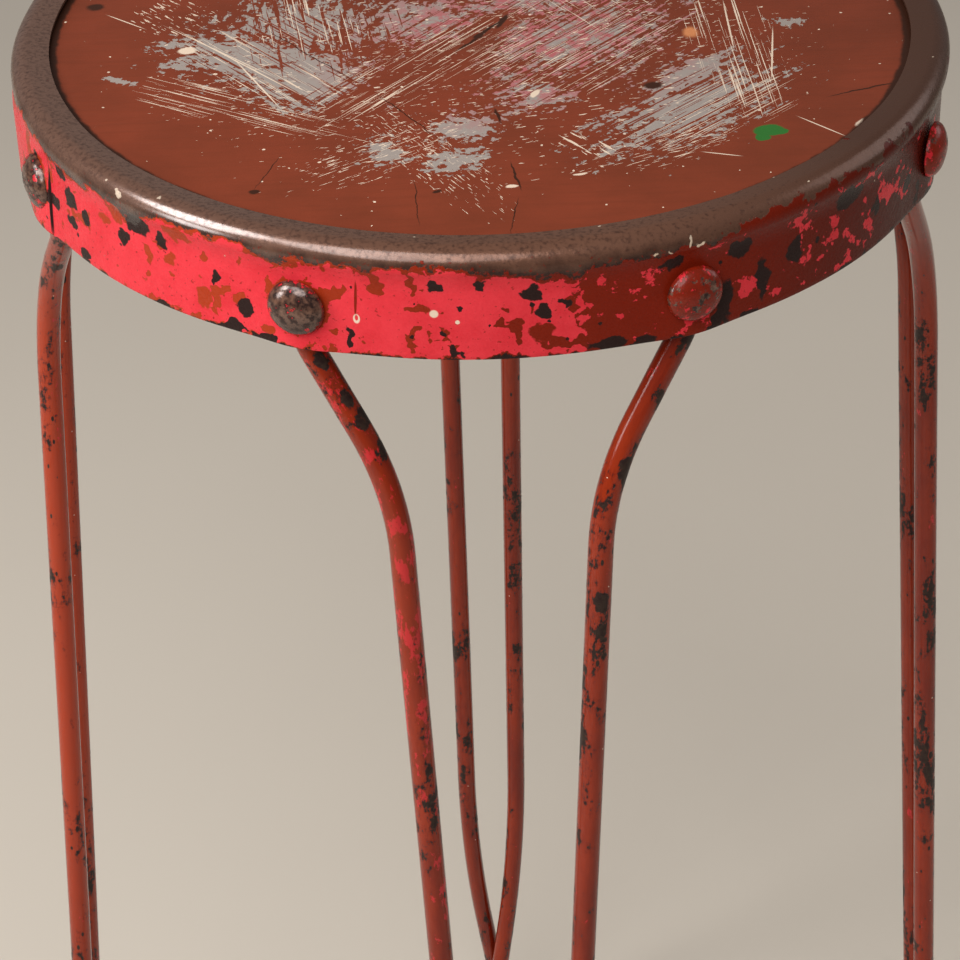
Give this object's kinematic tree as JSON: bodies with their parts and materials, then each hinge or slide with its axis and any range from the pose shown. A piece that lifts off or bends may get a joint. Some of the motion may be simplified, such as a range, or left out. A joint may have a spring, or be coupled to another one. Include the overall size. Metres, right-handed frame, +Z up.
{
  "type": "wire stool",
  "caption": "Tall round stool with a painted board in a rolled steel seat band, on legs of folded steel rod whose strands cross near the floor.",
  "frame": {"origin": "on the seat's axis at floor level", "axes": "+Z up along the seat's axis, front leg towards -Y, +X to the right seen from the front"},
  "size_m": [0.4448, 0.4448, 0.762],
  "materials": {
    "board": "board with worn red-brown paint, scraped grey in the middle",
    "band": "rolled sheet steel with chipped pinkish red paint, bare brown steel on the lip",
    "leg_rod": "steel rod with chipped brick red paint",
    "rivet": "worn steel rivet head with remains of red paint"
  },
  "bodies": {
    "root": {"seat_board": "board", "seat_band": "band", "leg_front": "leg_rod", "leg_right": "leg_rod", "leg_back": "leg_rod", "leg_left": "leg_rod", "rivet_01": "rivet", "rivet_02": "rivet", "rivet_03": "rivet", "rivet_04": "rivet", "rivet_05": "rivet", "rivet_06": "rivet", "rivet_07": "rivet", "rivet_08": "rivet"}
  },
  "joints": []
}
